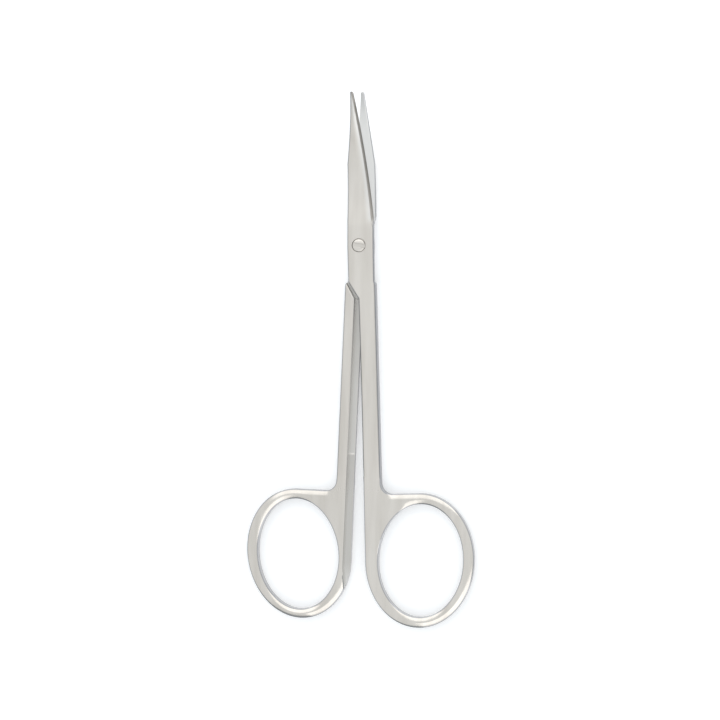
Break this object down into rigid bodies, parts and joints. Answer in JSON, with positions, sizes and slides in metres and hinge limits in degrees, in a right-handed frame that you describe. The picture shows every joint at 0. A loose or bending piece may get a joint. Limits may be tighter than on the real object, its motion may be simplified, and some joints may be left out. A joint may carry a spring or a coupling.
{
  "type": "tenotomy scissors",
  "caption": "Small fine scissors: narrow upturned blades and slim shanks lapped on a flush slotted screw, ending in oval finger rings, for careful cutting of soft tissue.",
  "frame": {"origin": "on the pivot axis, in the plane of the flat back of the lap joint, which is also where the screw's flush end lies", "axes": "+Y toward the blade tips along the line halfway between the halves, +Z from the flat back to the screw head and the way the tips turn up, +X to the side of the ring on the upper half"},
  "size_m": [0.0492, 0.1139, 0.01],
  "materials": {
    "steel": "fine satin, brighter polish on the rings",
    "screw": "satin"
  },
  "bodies": {
    "lower": {"lower_half": "steel", "pivot_screw": "screw"},
    "upper": {"upper_half": "steel"}
  },
  "joints": [
    {"name": "pivot", "type": "hinge", "parent": "lower", "child": "upper", "pos_m": [0, 0, 0.0016], "axis": [0, 0, 1], "range_deg": [-3.8, 55]}
  ]
}
